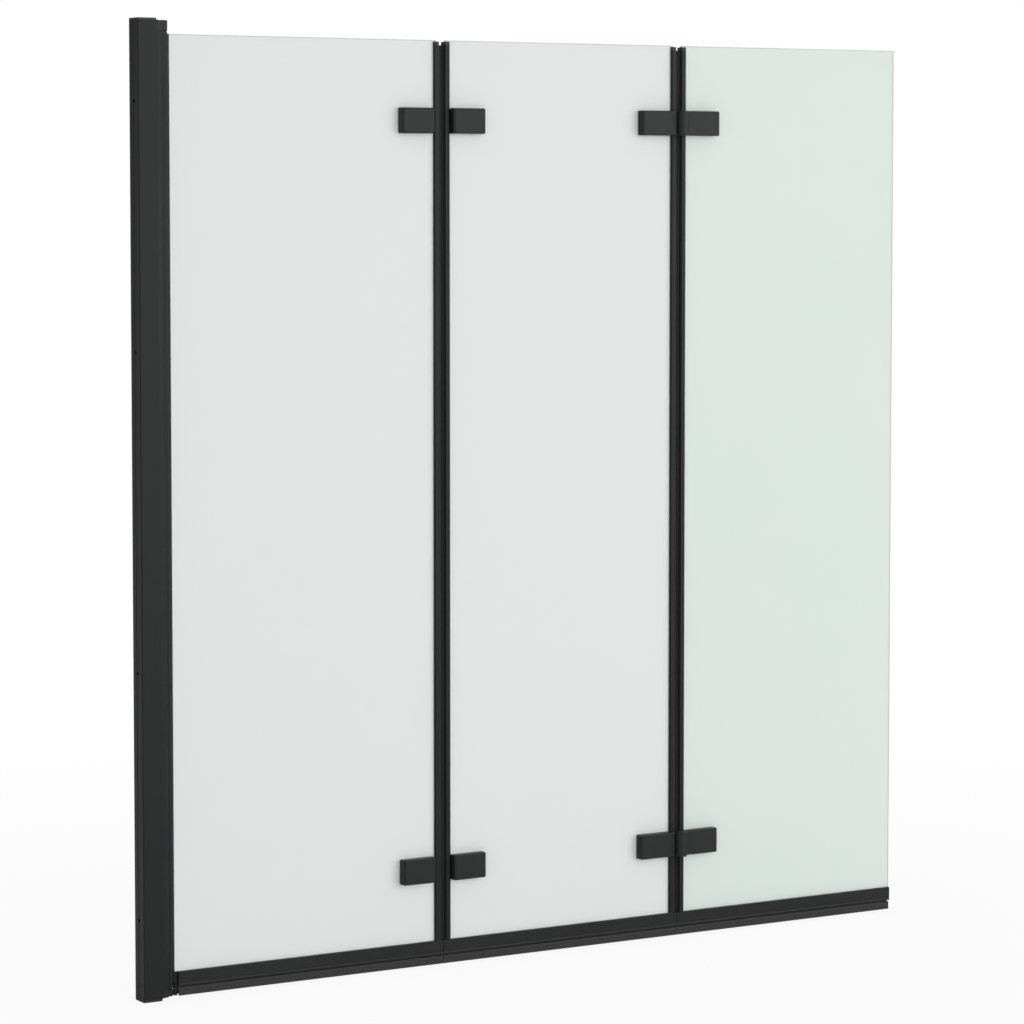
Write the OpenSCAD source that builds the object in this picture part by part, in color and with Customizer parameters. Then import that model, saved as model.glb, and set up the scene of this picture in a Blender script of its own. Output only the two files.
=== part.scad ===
// Three-panel folding bath screen of frosted glass, hung on a wall channel.
// +x runs along the screen, away from the wall, and x = 0 is the wall face of the channel.
// +z is up, and z = 0 is the bottom of the channel. y = 0 is the middle of the glass.
// -y is the front. Fold a joins panels 1 and 2 with its barrels at the back.
// Fold b joins panels 2 and 3 with its barrels at the front, so the screen folds as a Z.

/* [Screen] */
// Distance from the wall to the free edge of the glass
screen_w = 1300; // [1150:10:1400]
// Height of the wall channel
screen_h = 1380; // [1250:10:1500]
// Distance from the wall to the pivot axis of panel 1
pivot_x = 45; // [44:0.5:50]
// Distance from the pivot axis to fold a
panel_1_w = 442; // [400:2:460]
// Distance from fold a to fold b
panel_2_w = 410; // [380:2:420]
// Thickness of the glass
glass_t = 5; // [4:0.5:6]
// Drop from the top of the channel to the top of the glass
glass_drop = 21.5; // [19.5:0.5:30]

/* [Wall channel] */
// Depth of the channel from the wall
channel_d = 28.5; // [24:0.5:30]
// Width of the channel over its side walls
channel_w = 31; // [30:0.5:40]
// Thickness of the side walls and of the web
channel_wall = 2.3; // [1.6:0.1:2.6]
// Bevel on the long edges of the channel
channel_bevel = 1.2; // [0.5:0.1:1.5]
// Bevel on the edges of the channel's mouth
mouth_bevel = 0.4; // [0.2:0.1:0.8]
// Width of the drilling groove in the back of the web
guide_w = 6; // [3:0.5:8]
// Depth of the drilling groove
guide_t = 0.4; // [0.2:0.1:0.6]
// Radius of the wall screw holes
wall_hole_r = 2.5; // [2:0.25:3]
// Distance from each end of the channel to its outer wall screw hole
wall_hole_end = 115; // [80:5:160]
// Distance from an outer wall screw hole to the next one
wall_hole_step = 350; // [250:10:420]
// Thickness of the end caps
cap_t = 3; // [2:0.5:4]
// Bevel round the end caps
cap_bevel = 1; // [0.5:0.1:1.5]
// Depth of the cap legs inside the channel
cap_leg = 9; // [6:0.5:12]
// Wall of the cap legs
cap_leg_wall = 2; // [1.5:0.25:3]

/* [Adjusting profile] */
// Clearance to the channel on each side
slide_gap = 0.2; // [0.1:0.05:0.4]
// Distance from the wall to the inner edge of the profile
adjust_in = 12; // [10:0.5:14]
// Thickness of the profile's legs
adjust_wall = 1.8; // [1.4:0.1:2]
// Distance from the legs' root to the pivot axis
adjust_root = 14; // [13:0.5:15]
// How far the profile's sides curve in from the channel to its lips
adjust_curve = 4.2; // [3:0.1:4.4]
// Distance from the profile's lips to the pivot axis
lip_back = 3.3; // [3.2:0.1:4.5]
// Clearance between the lips' seat and the pivot tube
seat_gap = 0.8; // [0.5:0.1:1.5]
// Radius of the lock screws' shafts
lock_r = 1.9; // [1.5:0.1:2.2]
// Radius of the lock screws' heads
lock_head_r = 3.6; // [3:0.1:4]
// Height of the lock screws' heads
lock_head_t = 1.7; // [1.2:0.1:2.2]
// Length of the lock screws under the head
lock_l = 8; // [6:0.5:10]
// Distance from the lock screws to the mouth of the channel
lock_in = 8; // [6:0.5:10]
// Distance from each end of the channel to its outer lock screw
lock_end = 240; // [150:10:260]

/* [Pivot] */
// Outer radius of the pivot tube
tube_r = 7.2; // [7:0.1:7.8]
// Radius of the pivot pins
pivot_pin_r = 2; // [1.75:0.25:2.25]
// Length of each pivot pin in the tube
pivot_pin_l = 26; // [15:1:40]
// Length of each pivot pin in its block
pivot_seat_l = 8; // [5:0.5:8.5]
// Wall of the bushes in the tube
bush_wall = 0.9; // [0.7:0.1:1]
// Length of the bushes in the tube
bush_l = 20; // [10:1:25]
// Thickness of the bush flanges
bush_flange_t = 1.5; // [1:0.1:2]
// Radius of the bush flanges
bush_flange_r = 6.4; // [5.5:0.1:6.8]
// Radius of the tapered spacers at the blocks
spacer_neck_r = 4.8; // [3.5:0.1:5]
// Aluminium left between the tube's bore and the slot for the glass
slot_wall = 0.75; // [0.6:0.05:0.9]
// Thickness of the gasket round the glass in the tube
gasket_t = 0.5; // [0.3:0.05:0.7]
// Height of the top block
block_top_h = 15; // [11:0.5:15.5]
// Height of the bottom block
block_low_h = 9.5; // [9.5:0.5:12]
// Drop from the top of the channel to the top block
block_drop = 2.5; // [1:0.5:4]
// Height of the bottom block over the bottom of the channel
block_lift = 3; // [1:0.5:4]
// Radius of the blocks' noses round the pivot axis
nose_r = 6.5; // [6:0.1:7]
// Gap between the channel and the blocks
block_gap = 0.3; // [0.2:0.1:0.5]
// Bevel on the blocks
block_bevel = 1; // [0.5:0.1:1.5]
// Gap between the tube's lower end and the bottom block
tube_lift = 4; // [3.5:0.5:7]
// Radius of the block screws' shafts
port_r = 1.6; // [1.3:0.1:1.8]
// Radius of the block screws' heads
port_head_r = 2.9; // [2.5:0.1:3.2]
// Height of the block screws' heads
port_head_t = 2.2; // [1.8:0.1:2.6]
// Length of the block screws in the adjusting profile
port_l = 16; // [10:1:25]
// Distance from the pivot axis to the block screws, along x
port_back = 10; // [9.5:0.1:10.5]
// Distance from the block screws to the edge of the blocks
port_edge = 4.2; // [3.8:0.1:4.6]

/* [Edge strips] */
// Distance from a fold to the outer edge of its strip
strip_out = 13.2; // [12:0.1:13.2]
// Distance from a fold to the inner edge of each clamp
strip_in = 5.2; // [4.8:0.1:5.6]
// Height of the strips over the glass
strip_proud = 4.5; // [4:0.1:4.8]
// Bevel on the strips' outer edges
strip_bevel = 1.6; // [0.8:0.1:2]
// Bevel on the strips' inner edges
strip_lip = 0.5; // [0.3:0.1:0.8]
// Thickness of the strips' webs behind the glass
strip_web = 2.2; // [2:0.1:2.6]
// Drop from the top of the glass to the top of the strips
strip_drop = 2; // [0:0.5:4]
// Height of the strips' end caps
strip_cap_h = 5; // [3:0.5:8]
// Clearance round the glass in the strips and rails
glass_fit = 0.15; // [0.05:0.05:0.3]
// Depth of the seals' feet in the webs
foot_l = 1.2; // [0.8:0.1:1.4]
// Width of the seals' feet
foot_w = 2.8; // [2:0.1:3.5]
// Thickness of the seals' flanges
flange_t = 1; // [0.6:0.1:1.2]
// Width of the seals' flanges
flange_w = 10; // [8:0.5:11]
// Radius of the bulb seals
bulb_r = 2.8; // [2.4:0.1:3]
// Distance the bulb reaches over the fold
bulb_over = 1.2; // [0.8:0.1:1.5]
// Gap between each bulb and the pad that it closes on
bulb_gap = 0.6; // [0.4:0.1:1]
// Width of the pads
bulb_pad_w = 4; // [3:0.5:6]

/* [Bottom rails] */
// Height of the rails' lower edge
rail_low = 17; // [16:0.5:18]
// Height of the rails
rail_h = 20.5; // [16:0.5:25]
// Width of the rails
rail_w = 15.2; // [14:0.1:16]
// Bevel on the rails' upper edges
rail_bevel = 1; // [0.5:0.1:2]
// Height of the bead along the rails' lower edge
bead_h = 3.4; // [2.5:0.1:4]
// How far the bead stands out of the rail
bead_t = 0.6; // [0.2:0.1:0.8]
// Height of the glass over the rails' lower edge
glass_seat = 6; // [5.5:0.5:8]
// Gap between neighbouring rails at a fold
rail_gap = 0.6; // [0.6:0.1:2]
// Distance from the pivot axis to rail 1
rail_start = 12; // [12:0.1:15]
// Distance from the free edge to the end of rail 3
rail_end = 1.5; // [0:0.5:5]
// Distance from the end of rail 3 to the end of its seal
seal_end = 1.5; // [0:0.5:5]
// Height of the seals' lips over the bottom of the channel
seal_low = 3; // [1:0.5:5]
// Height of the gap between rail and seal
seal_gap = 2; // [1:0.5:3]
// Thickness of the seals' lips at their root
lip_root = 2.5; // [2:0.1:3]
// Thickness of the seals' lips at their edge
lip_edge = 1.2; // [0.8:0.1:1.6]
// Thickness of the seals' web between the lips
seal_web = 4; // [2.5:0.5:5]
// Width of the seals' necks
neck_w = 3.6; // [3:0.1:4]
// Width of the seals' heads
head_w = 6.6; // [5.5:0.1:7]
// Height of the seals' heads
head_h = 2.1; // [1.5:0.1:2.5]
// Clearance round the seals' necks and heads
seal_fit = 0.2; // [0.1:0.05:0.3]
// Wall of the rubber boot between tube and rail 1
boot_wall = 0.35; // [0.2:0.05:0.4]

/* [Hinges] */
// Drop from the top of the glass to the middle of the upper hinges
hinge_drop = 116.5; // [80:0.5:160]
// Height of the middle of the lower hinges
hinge_low = 145; // [100:1:180]
// Height of the hinge blocks
plate_h = 37; // [30:1:45]
// Length of the hinge blocks along the glass
plate_l = 55; // [45:1:65]
// Height of the hinge blocks over the glass
plate_proud = 14.5; // [13:0.5:15.5]
// Bevel on the hinge blocks
plate_bevel = 1.2; // [0.6:0.1:2]
// Distance from a fold to the hinge blocks on its wall side
plate_start_wall = 16; // [14:0.5:20]
// Distance from a fold to the hinge blocks on its free side
plate_start_free = 13.6; // [13.6:0.2:20]
// Thickness of the rubber pads on the glass
pad_t = 1; // [0.5:0.1:1.5]
// Inset of the pads from the edge of the blocks
pad_inset = 0.6; // [0.2:0.1:1]
// Gap between the blocks of two panels that are folded together
fold_gap = 1; // [0.6:0.1:2]
// Radius of the hinge barrels
barrel_r = 9.5; // [8.5:0.1:9.5]
// Gap between a barrel and the other leaf
barrel_gap = 0.6; // [0.5:0.1:1]
// Height of the middle knuckle
knuckle_h = 15; // [12:0.5:17]
// Radius of the hinge pins
hinge_pin_r = 3; // [2.5:0.25:4]
// Thickness of the washers between the knuckles
washer_t = 0.6; // [0.4:0.1:1]
// Clearance between the leaves and the strips
strip_gap = 0.4; // [0.3:0.1:0.6]
// Radius of the clamp screws' shafts
clamp_r = 2.5; // [2:0.25:3]
// Radius of the clamp screws' heads
clamp_head_r = 4.5; // [4:0.1:5]
// Height of the clamp screws' heads
clamp_head_t = 3; // [2.5:0.1:3.5]
// Depth of the clamp screws' heads under the face of the block
clamp_sink = 0.8; // [0.4:0.1:1.2]
// Depth of the clamp screws in the front block
clamp_l = 8; // [5:0.5:9]
// Distance from the ends of a block to its clamp screws
clamp_in = 13; // [9:0.5:16]
// Wall of the sleeves round the clamp screws in the glass
sleeve_wall = 1.9; // [1.5:0.1:2.5]

/* [Fits] */
// Radial clearance of a pin that turns in its bush or knuckle
run_fit = 0.05; // [0.02:0.01:0.08]
// Radial clearance of a pin or bush that is pressed in
press_fit = 0.02; // [0.01:0.01:0.03]
// Radial clearance of a screw in a plain hole
screw_fit = 0.1; // [0.05:0.05:0.15]
// Width of the screws' hexagon sockets
socket_w = 3; // [2:0.5:3.5]
// Width of the clamp screws' hexagon sockets
clamp_socket_w = 4; // [3:0.5:5]
// Depth of the sockets as a share of the height of their heads
socket_share = 0.7; // [0.5:0.05:0.8]
// Facets round a full circle
$fn = 64;

/* [Hidden] */

// A hair past a face, so that a cut goes right through it
cut = 1;
black = [0.20, 0.205, 0.21];
plate_black = [0.235, 0.243, 0.24];
plastic_black = [0.16, 0.16, 0.165];
rubber_black = [0.12, 0.12, 0.12];
steel = [0.62, 0.63, 0.64];
frosted = [0.87, 0.90, 0.885];

// Folds: 0 is a, 1 is b. Sides: -1 is towards the wall, 1 towards the free edge.
fold_x = [pivot_x + panel_1_w, pivot_x + panel_1_w + panel_2_w];
glass_top = screen_h - glass_drop;
glass_low = rail_low + glass_seat;
hinge_z = [glass_top - hinge_drop, hinge_low];
wall_hole_z = [wall_hole_end, wall_hole_end + wall_hole_step,
    screen_h - wall_hole_end - wall_hole_step, screen_h - wall_hole_end];
lock_z = [lock_end, screen_h / 2, screen_h - lock_end];

adjust_w = channel_w - 2 * channel_wall - 2 * slide_gap;
adjust_lip = pivot_x - lip_back;
curve_steps = 8;
nose_steps = 24;
curve_r = ((adjust_lip - channel_d) ^ 2 + adjust_curve ^ 2) / (2 * adjust_curve);
curve_turn = asin((adjust_lip - channel_d) / curve_r) / curve_steps;
adjust_side = [for (step = [0:curve_steps]) [channel_d + curve_r * sin(step * curve_turn),
    adjust_w / 2 - curve_r * (1 - cos(step * curve_turn))]];
block_top_high = screen_h - block_drop;
block_top_low = block_top_high - block_top_h;
block_low_top = block_lift + block_low_h;
tube_low = block_low_top + tube_lift;
port_y = adjust_w / 2 - port_edge;
port_x = pivot_x - port_back;

bore_r = pivot_pin_r + run_fit + bush_wall + press_fit;
slot_x = bore_r + slot_wall;
glass_in = slot_x + gasket_t;

rail_top = rail_low + rail_h;
rail_x = [[pivot_x + rail_start, fold_x[0] - rail_gap / 2],
    [fold_x[0] + rail_gap / 2, fold_x[1] - rail_gap / 2],
    [fold_x[1] + rail_gap / 2, screen_w - rail_end]];
seal_top = rail_low - seal_gap;
strip_top = glass_top - strip_drop;
glass_edge = strip_in + strip_web + glass_fit;
glass_x = [[pivot_x + glass_in, fold_x[0] - glass_edge],
    [fold_x[0] + glass_edge, fold_x[1] - glass_edge],
    [fold_x[1] + glass_edge, screen_w]];
strip_y = glass_t / 2 + strip_proud;

plate_y = glass_t / 2 + plate_proud;
pad_y = glass_t / 2 + pad_t;
barrel_y = plate_y + fold_gap / 2;
leaf_near = barrel_r + barrel_gap;
arm_y = strip_y + strip_gap;
washer_gap = washer_t + 2 * run_fit;
sleeve_r = clamp_r + screw_fit + sleeve_wall;
clamp_tip = pad_y + clamp_l;

function plate_start(side) = side < 0 ? plate_start_wall : plate_start_free;
function clamp_x(side) = [for (x = [clamp_in, plate_l - clamp_in]) side * (plate_start(side) + x)];

// Places its children at the middle of a hinge: fold 0 or 1, row 0 is the upper one
module at_hinge(fold, row) translate([fold_x[fold], 0, hinge_z[row]]) children();

// Turns a shape drawn towards +x to the given side of a fold
module to_side(side) mirror([side < 0 ? 1 : 0, 0, 0]) children();

// Turns a shape drawn with its barrel at +y to the barrel side of its fold
module barrel_side(fold) mirror([0, fold, 0]) children();

// A cylinder along y, from y1 to y2
module rod_y(r, y1, y2) translate([0, y2, 0]) rotate([90, 0, 0]) cylinder(r = r, h = y2 - y1);

// A flat shape drawn in y and z, drawn out along x from x1 to x2
module along_x(x1, x2)
    translate([x1, 0, 0]) rotate([90, 0, 90]) linear_extrude(x2 - x1) children();

// A flat shape drawn in x and z, drawn out along y from y1 to y2
module along_y(y1, y2)
    translate([0, y2, 0]) rotate([90, 0, 0]) linear_extrude(y2 - y1) children();

// A flat shape drawn in x and y, drawn out along z from z1 to z2
module along_z(z1, z2) translate([0, 0, z1]) linear_extrude(z2 - z1) children();

// A rectangle from [x1, y1] to [x2, y2], with a bevel at each corner: the bevels start at
// [x1, y1] and go round to [x2, y1], [x2, y2] and [x1, y2]
module bevelled(x1, y1, x2, y2, b) polygon([
    [x1 + b[0], y1], [x2 - b[1], y1], [x2, y1 + b[1]], [x2, y2 - b[2]],
    [x2 - b[2], y2], [x1 + b[3], y2], [x1, y2 - b[3]], [x1, y1 + b[0]]]);

// ---- Wall channel -------------------------------------------------------------

module channel_outline() bevelled(0, -channel_w / 2, channel_d, channel_w / 2,
    [channel_bevel, mouth_bevel, mouth_bevel, channel_bevel]);

module wall_channel() color(black) difference() {
    along_z(cap_t, screen_h - cap_t) difference() {
        channel_outline();
        translate([channel_wall, channel_wall - channel_w / 2])
            square([channel_d, channel_w - 2 * channel_wall]);
        translate([-cut, -guide_w / 2]) square([cut + guide_t, guide_w]);
    }
    for (z = wall_hole_z) translate([-cut, 0, z]) rotate([0, 90, 0])
        cylinder(r = wall_hole_r, h = channel_wall + 2 * cut);
    for (z = lock_z) translate([channel_d - lock_in, 0, z])
        rod_y(lock_r + screw_fit, channel_w / 2 - channel_wall - cut, channel_w / 2 + cut);
}

// The cap at the lower end, with its bevelled face down and its legs in the channel
module channel_cap() color(plastic_black) {
    intersection() {
        along_z(0, cap_t) channel_outline();
        along_y(-channel_w, channel_w) bevelled(0, 0, channel_d, cap_t,
            [0, cap_bevel, 0, 0]);
        along_x(0, channel_d) bevelled(-channel_w / 2, 0, channel_w / 2, cap_t,
            [cap_bevel, cap_bevel, 0, 0]);
    }
    along_z(cap_t - cut / 2, cap_t + cap_leg) difference() {
        translate([channel_wall + slide_gap, -adjust_w / 2])
            square([adjust_in - channel_wall - 2 * slide_gap, adjust_w]);
        translate([channel_wall + slide_gap + cap_leg_wall, cap_leg_wall - adjust_w / 2])
            square([channel_d, adjust_w - 2 * cap_leg_wall]);
    }
}
module channel_cap_bottom() channel_cap();
module channel_cap_top() translate([0, 0, screen_h]) mirror([0, 0, 1]) channel_cap();

// ---- Adjusting profile --------------------------------------------------------

// The outline of the profile. A block's outline has a neck on it, out to the pivot axis
module adjust_outline(neck = []) polygon(concat([[adjust_in, adjust_w / 2]], adjust_side, neck,
    [for (step = [curve_steps:-1:0]) [adjust_side[step].x, -adjust_side[step].y]],
    [[adjust_in, -adjust_w / 2]]));

module adjusting_profile() color(black) difference() {
    along_z(block_low_top, block_top_low) difference() {
        adjust_outline();
        translate([adjust_in - cut, adjust_wall - adjust_w / 2])
            square([pivot_x - adjust_root - adjust_in + cut, adjust_w - 2 * adjust_wall]);
        translate([pivot_x, 0]) circle(r = tube_r + seat_gap);
        for (y = [-port_y, port_y]) translate([port_x, y]) circle(r = port_r + press_fit);
    }
    for (z = lock_z) translate([channel_d - lock_in, 0, z])
        rod_y(lock_r + press_fit, adjust_w / 2 - adjust_wall - cut, adjust_w / 2 + cut);
}

module lock_screws() color(steel) for (z = lock_z)
    translate([channel_d - lock_in, channel_w / 2, z]) difference() {
        union() {
            rod_y(lock_r, -lock_l, 0);
            rod_y(lock_head_r, 0, lock_head_t);
        }
        rotate([90, 0, 0]) translate([0, 0, -lock_head_t - cut])
            cylinder(d = socket_w, h = cut + lock_head_t * socket_share, $fn = 6);
    }

// ---- Pivot blocks and pins ----------------------------------------------------

module block_outline() adjust_outline(concat([[adjust_lip, nose_r]],
    [for (step = [0:nose_steps]) [pivot_x + nose_r * sin(step * 180 / nose_steps),
        nose_r * cos(step * 180 / nose_steps)]],
    [[adjust_lip, -nose_r]]));

// A block that stands on z = 0 with its bevelled face up, and carries a pin below
module pivot_block(h) color(plate_black) difference() {
    intersection() {
        along_z(0, h) block_outline();
        along_y(-adjust_w, adjust_w) bevelled(channel_d + block_gap, 0, pivot_x + nose_r, h,
            [0, block_bevel, block_bevel, block_bevel / 2]);
        along_x(channel_d, pivot_x + nose_r) bevelled(-adjust_w / 2, 0, adjust_w / 2, h,
            [0, 0, block_bevel, block_bevel]);
    }
    translate([pivot_x, 0, -cut]) cylinder(r = pivot_pin_r + press_fit, h = pivot_seat_l + cut);
    for (y = [-port_y, port_y]) translate([port_x, y, -cut]) {
        cylinder(r = port_r + screw_fit, h = h + 2 * cut);
        translate([0, 0, h + cut - port_head_t])
            cylinder(r = port_head_r + screw_fit, h = port_head_t + cut);
    }
}

// Places its children on the two blocks: 0 is the top one, 1 the bottom one, upside down
module at_block(row)
    translate([0, 0, row == 0 ? block_top_low : block_low_top]) mirror([0, 0, row]) children();

module pivot_block_top() at_block(0) pivot_block(block_top_h);
module pivot_block_bottom() at_block(1) pivot_block(block_low_h);

module block_screws() color(steel) for (row = [0, 1], y = [-port_y, port_y])
    at_block(row) translate([port_x, y, row == 0 ? block_top_h : block_low_h]) difference() {
        union() {
            translate([0, 0, -port_head_t]) cylinder(r = port_head_r, h = port_head_t - screw_fit);
            translate([0, 0, -(row == 0 ? block_top_h : block_low_h) - port_l])
                cylinder(r = port_r, h = (row == 0 ? block_top_h : block_low_h) + port_l - port_head_t);
        }
        translate([0, 0, -port_head_t * socket_share]) cylinder(d = socket_w, h = port_head_t, $fn = 6);
    }

// Gap between each block and its end of the tube
function tube_gap(row) = row == 0 ? block_top_low - glass_top : tube_lift;

module pivot_pins() color(steel) for (row = [0, 1]) at_block(row)
    translate([pivot_x, 0, -tube_gap(row) - pivot_pin_l])
        cylinder(r = pivot_pin_r, h = pivot_pin_l + tube_gap(row) + pivot_seat_l);

module pivot_spacers() color(plastic_black) for (row = [0, 1]) at_block(row)
    translate([pivot_x, 0, bush_flange_t + run_fit - tube_gap(row)]) difference() {
        cylinder(r1 = bush_flange_r, r2 = spacer_neck_r,
            h = tube_gap(row) - bush_flange_t - run_fit);
        translate([0, 0, -cut]) cylinder(r = pivot_pin_r + press_fit, h = tube_gap(row) + cut);
    }

// ---- Panel 1 at the pivot -----------------------------------------------------

module pivot_tube() color(black) along_z(tube_low, glass_top) difference() {
    translate([pivot_x, 0]) circle(r = tube_r);
    translate([pivot_x, 0]) circle(r = bore_r);
    translate([pivot_x + slot_x, -glass_t / 2 - gasket_t])
        square([tube_r, glass_t + 2 * gasket_t]);
}

module pivot_gasket() color(rubber_black) along_z(glass_low, glass_top) difference() {
    translate([pivot_x + slot_x, -glass_t / 2 - gasket_t])
        square([tube_r - slot_x + gasket_t, glass_t + 2 * gasket_t]);
    translate([pivot_x + glass_in, -glass_t / 2]) square([tube_r, glass_t]);
}

// A bush with its flange on the end of the tube, drawn for the upper end
module pivot_bush() color(plastic_black) difference() {
    union() {
        cylinder(r = bush_flange_r, h = bush_flange_t);
        translate([0, 0, -bush_l]) cylinder(r = bore_r - press_fit, h = bush_l + cut / 2);
    }
    translate([0, 0, -bush_l - cut])
        cylinder(r = pivot_pin_r + run_fit, h = bush_l + bush_flange_t + 2 * cut);
}
module pivot_bush_top() translate([pivot_x, 0, glass_top]) pivot_bush();
module pivot_bush_bottom() translate([pivot_x, 0, tube_low]) mirror([0, 0, 1]) pivot_bush();

module rail_boot() color(rubber_black) difference() {
    translate([pivot_x + tube_r + gasket_t, -glass_t / 2 - boot_wall, seal_low])
        cube([rail_start - tube_r - gasket_t, glass_t + 2 * boot_wall, rail_top - seal_low]);
    translate([pivot_x, -glass_t / 2, glass_low]) cube([rail_start + cut, glass_t, rail_h]);
}

// ---- Glass --------------------------------------------------------------------

// A panel with a hole round each clamp screw; sides lists [fold, side] of its hinges
module glass(panel, sides) color(frosted) difference() {
    translate([glass_x[panel][0], -glass_t / 2, glass_low])
        cube([glass_x[panel][1] - glass_x[panel][0], glass_t, glass_top - glass_low]);
    for (s = sides, row = [0, 1], x = clamp_x(s[1])) at_hinge(s[0], row)
        translate([x, 0, 0]) rod_y(sleeve_r + glass_fit, -glass_t, glass_t);
}
module glass_1() glass(0, [[0, -1]]);
module glass_2() glass(1, [[0, 1], [1, -1]]);
module glass_3() glass(2, [[1, 1]]);

// ---- Edge strips --------------------------------------------------------------

module clamp_outline() difference() {
    bevelled(strip_in, -strip_y, strip_out, strip_y, [strip_lip, strip_bevel, strip_bevel, strip_lip]);
    translate([strip_in + strip_web, -glass_t / 2 - glass_fit])
        square([strip_out, glass_t + 2 * glass_fit]);
    translate([strip_in - cut, -foot_w / 2 - glass_fit])
        square([foot_l + cut, foot_w + 2 * glass_fit]);
}

module edge_clamp(fold, side) color(black) translate([fold_x[fold], 0, 0]) to_side(side)
    along_z(rail_top, strip_top - strip_cap_h) clamp_outline();
module edge_clamp_1() edge_clamp(0, -1);
module edge_clamp_2_wall() edge_clamp(0, 1);
module edge_clamp_2_free() edge_clamp(1, -1);
module edge_clamp_3() edge_clamp(1, 1);

module edge_cap(fold, side) color(plastic_black) translate([fold_x[fold], 0, 0]) to_side(side)
    along_z(strip_top - strip_cap_h, strip_top) difference() {
        bevelled(strip_in, -strip_y, strip_out, strip_y,
            [strip_lip, strip_bevel, strip_bevel, strip_lip]);
        translate([strip_in + strip_web, -glass_t / 2 - glass_fit])
            square([strip_out, glass_t + 2 * glass_fit]);
    }
module edge_cap_1() edge_cap(0, -1);
module edge_caps_2() {
    edge_cap(0, 1);
    edge_cap(1, -1);
}
module edge_cap_3() edge_cap(1, 1);

// The seal of a clamp: a bulb on the wall side of a fold, a pad on the free side
module edge_seal(fold, side) color(rubber_black) translate([fold_x[fold], 0, 0]) to_side(side)
    along_z(rail_top, strip_top - strip_cap_h) union() {
        translate([strip_in - cut / 4, -foot_w / 2])
            square([foot_l - glass_fit + cut / 4, foot_w]);
        translate([strip_in - flange_t, -flange_w / 2]) square([flange_t, flange_w]);
        if (side < 0) translate([bulb_r - bulb_over, 0]) circle(r = bulb_r);
        if (side > 0) translate([bulb_over + bulb_gap, -bulb_pad_w / 2])
            square([strip_in - bulb_over - bulb_gap, bulb_pad_w]);
    }
module edge_seal_1() edge_seal(0, -1);
module edge_seal_2_wall() edge_seal(0, 1);
module edge_seal_2_free() edge_seal(1, -1);
module edge_seal_3() edge_seal(1, 1);

// ---- Bottom rails -------------------------------------------------------------

module bottom_rail(panel) color(black) along_x(rail_x[panel][0], rail_x[panel][1]) difference() {
    union() {
        bevelled(-rail_w / 2, rail_low, rail_w / 2, rail_top, [0, 0, rail_bevel, rail_bevel]);
        bevelled(-rail_w / 2 - bead_t, rail_low, rail_w / 2 + bead_t, rail_low + bead_h,
            [bead_t, bead_t, bead_t, bead_t]);
    }
    translate([-glass_t / 2 - glass_fit, glass_low]) square([glass_t + 2 * glass_fit, rail_h]);
    translate([-neck_w / 2 - seal_fit, rail_low - cut]) square([neck_w + 2 * seal_fit, 2 * cut]);
    translate([-head_w / 2 - seal_fit, rail_low + cut]) square([head_w + 2 * seal_fit,
        head_h + 2 * seal_fit]);
}
module bottom_rail_1() bottom_rail(0);
module bottom_rail_2() bottom_rail(1);
module bottom_rail_3() bottom_rail(2);

// Two lips under a web that hangs from the rail by a head in its groove
module rail_seal(panel, end = 0) color(rubber_black)
    along_x(rail_x[panel][0], rail_x[panel][1] - end) union() {
        polygon([[-rail_w / 2, seal_low], [lip_edge - rail_w / 2, seal_low],
            [lip_root - rail_w / 2, seal_top - seal_web], [rail_w / 2 - lip_root, seal_top - seal_web],
            [rail_w / 2 - lip_edge, seal_low], [rail_w / 2, seal_low],
            [rail_w / 2, seal_top - rail_bevel], [rail_w / 2 - rail_bevel, seal_top],
            [rail_bevel - rail_w / 2, seal_top], [-rail_w / 2, seal_top - rail_bevel]]);
        translate([-neck_w / 2, seal_top - cut / 2])
            square([neck_w, seal_gap + cut + seal_fit + cut]);
        translate([-head_w / 2, rail_low + cut + seal_fit]) square([head_w, head_h]);
    }
module rail_seal_1() rail_seal(0);
module rail_seal_2() rail_seal(1);
module rail_seal_3() rail_seal(2, seal_end);

// ---- Hinges -------------------------------------------------------------------

// A bevelled block from [x1, y1] to [x2, y2], as high as a hinge block, with its face at y2
module hinge_block(x1, y1, x2, y2) intersection() {
    along_z(-plate_h / 2, plate_h / 2) bevelled(x1, y1, x2, y2, [0, 0, plate_bevel, plate_bevel]);
    along_x(x1, x2) bevelled(y1, -plate_h / 2, y2, plate_h / 2, [0, plate_bevel, plate_bevel, 0]);
    along_y(y1, y2) bevelled(x1, -plate_h / 2, x2, plate_h / 2,
        [0, plate_bevel, plate_bevel, 0]);
}

// Room for the clamp screws, with their heads at the back and their tips in the front block
module clamp_holes(side) for (x = clamp_x(side)) translate([x, 0, 0]) {
    rod_y(clamp_r + screw_fit, -pad_y, plate_y + cut);
    rod_y(clamp_head_r + screw_fit, plate_y - clamp_sink - clamp_head_t, plate_y + cut);
    rod_y(clamp_r + press_fit, -clamp_tip - run_fit, 0);
}

// Heights of the knuckles: the wall side has the outer two, the free side the middle one
module knuckle_zones(side, grow = 0) {
    if (side > 0) translate([0, 0, -knuckle_h / 2 - grow])
        linear_extrude(knuckle_h + 2 * grow) children();
    if (side < 0) for (m = [0, 1]) mirror([0, 0, m])
        translate([0, 0, knuckle_h / 2 + washer_gap - grow])
            linear_extrude(plate_h / 2 - knuckle_h / 2 - washer_gap + grow) children();
}

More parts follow.
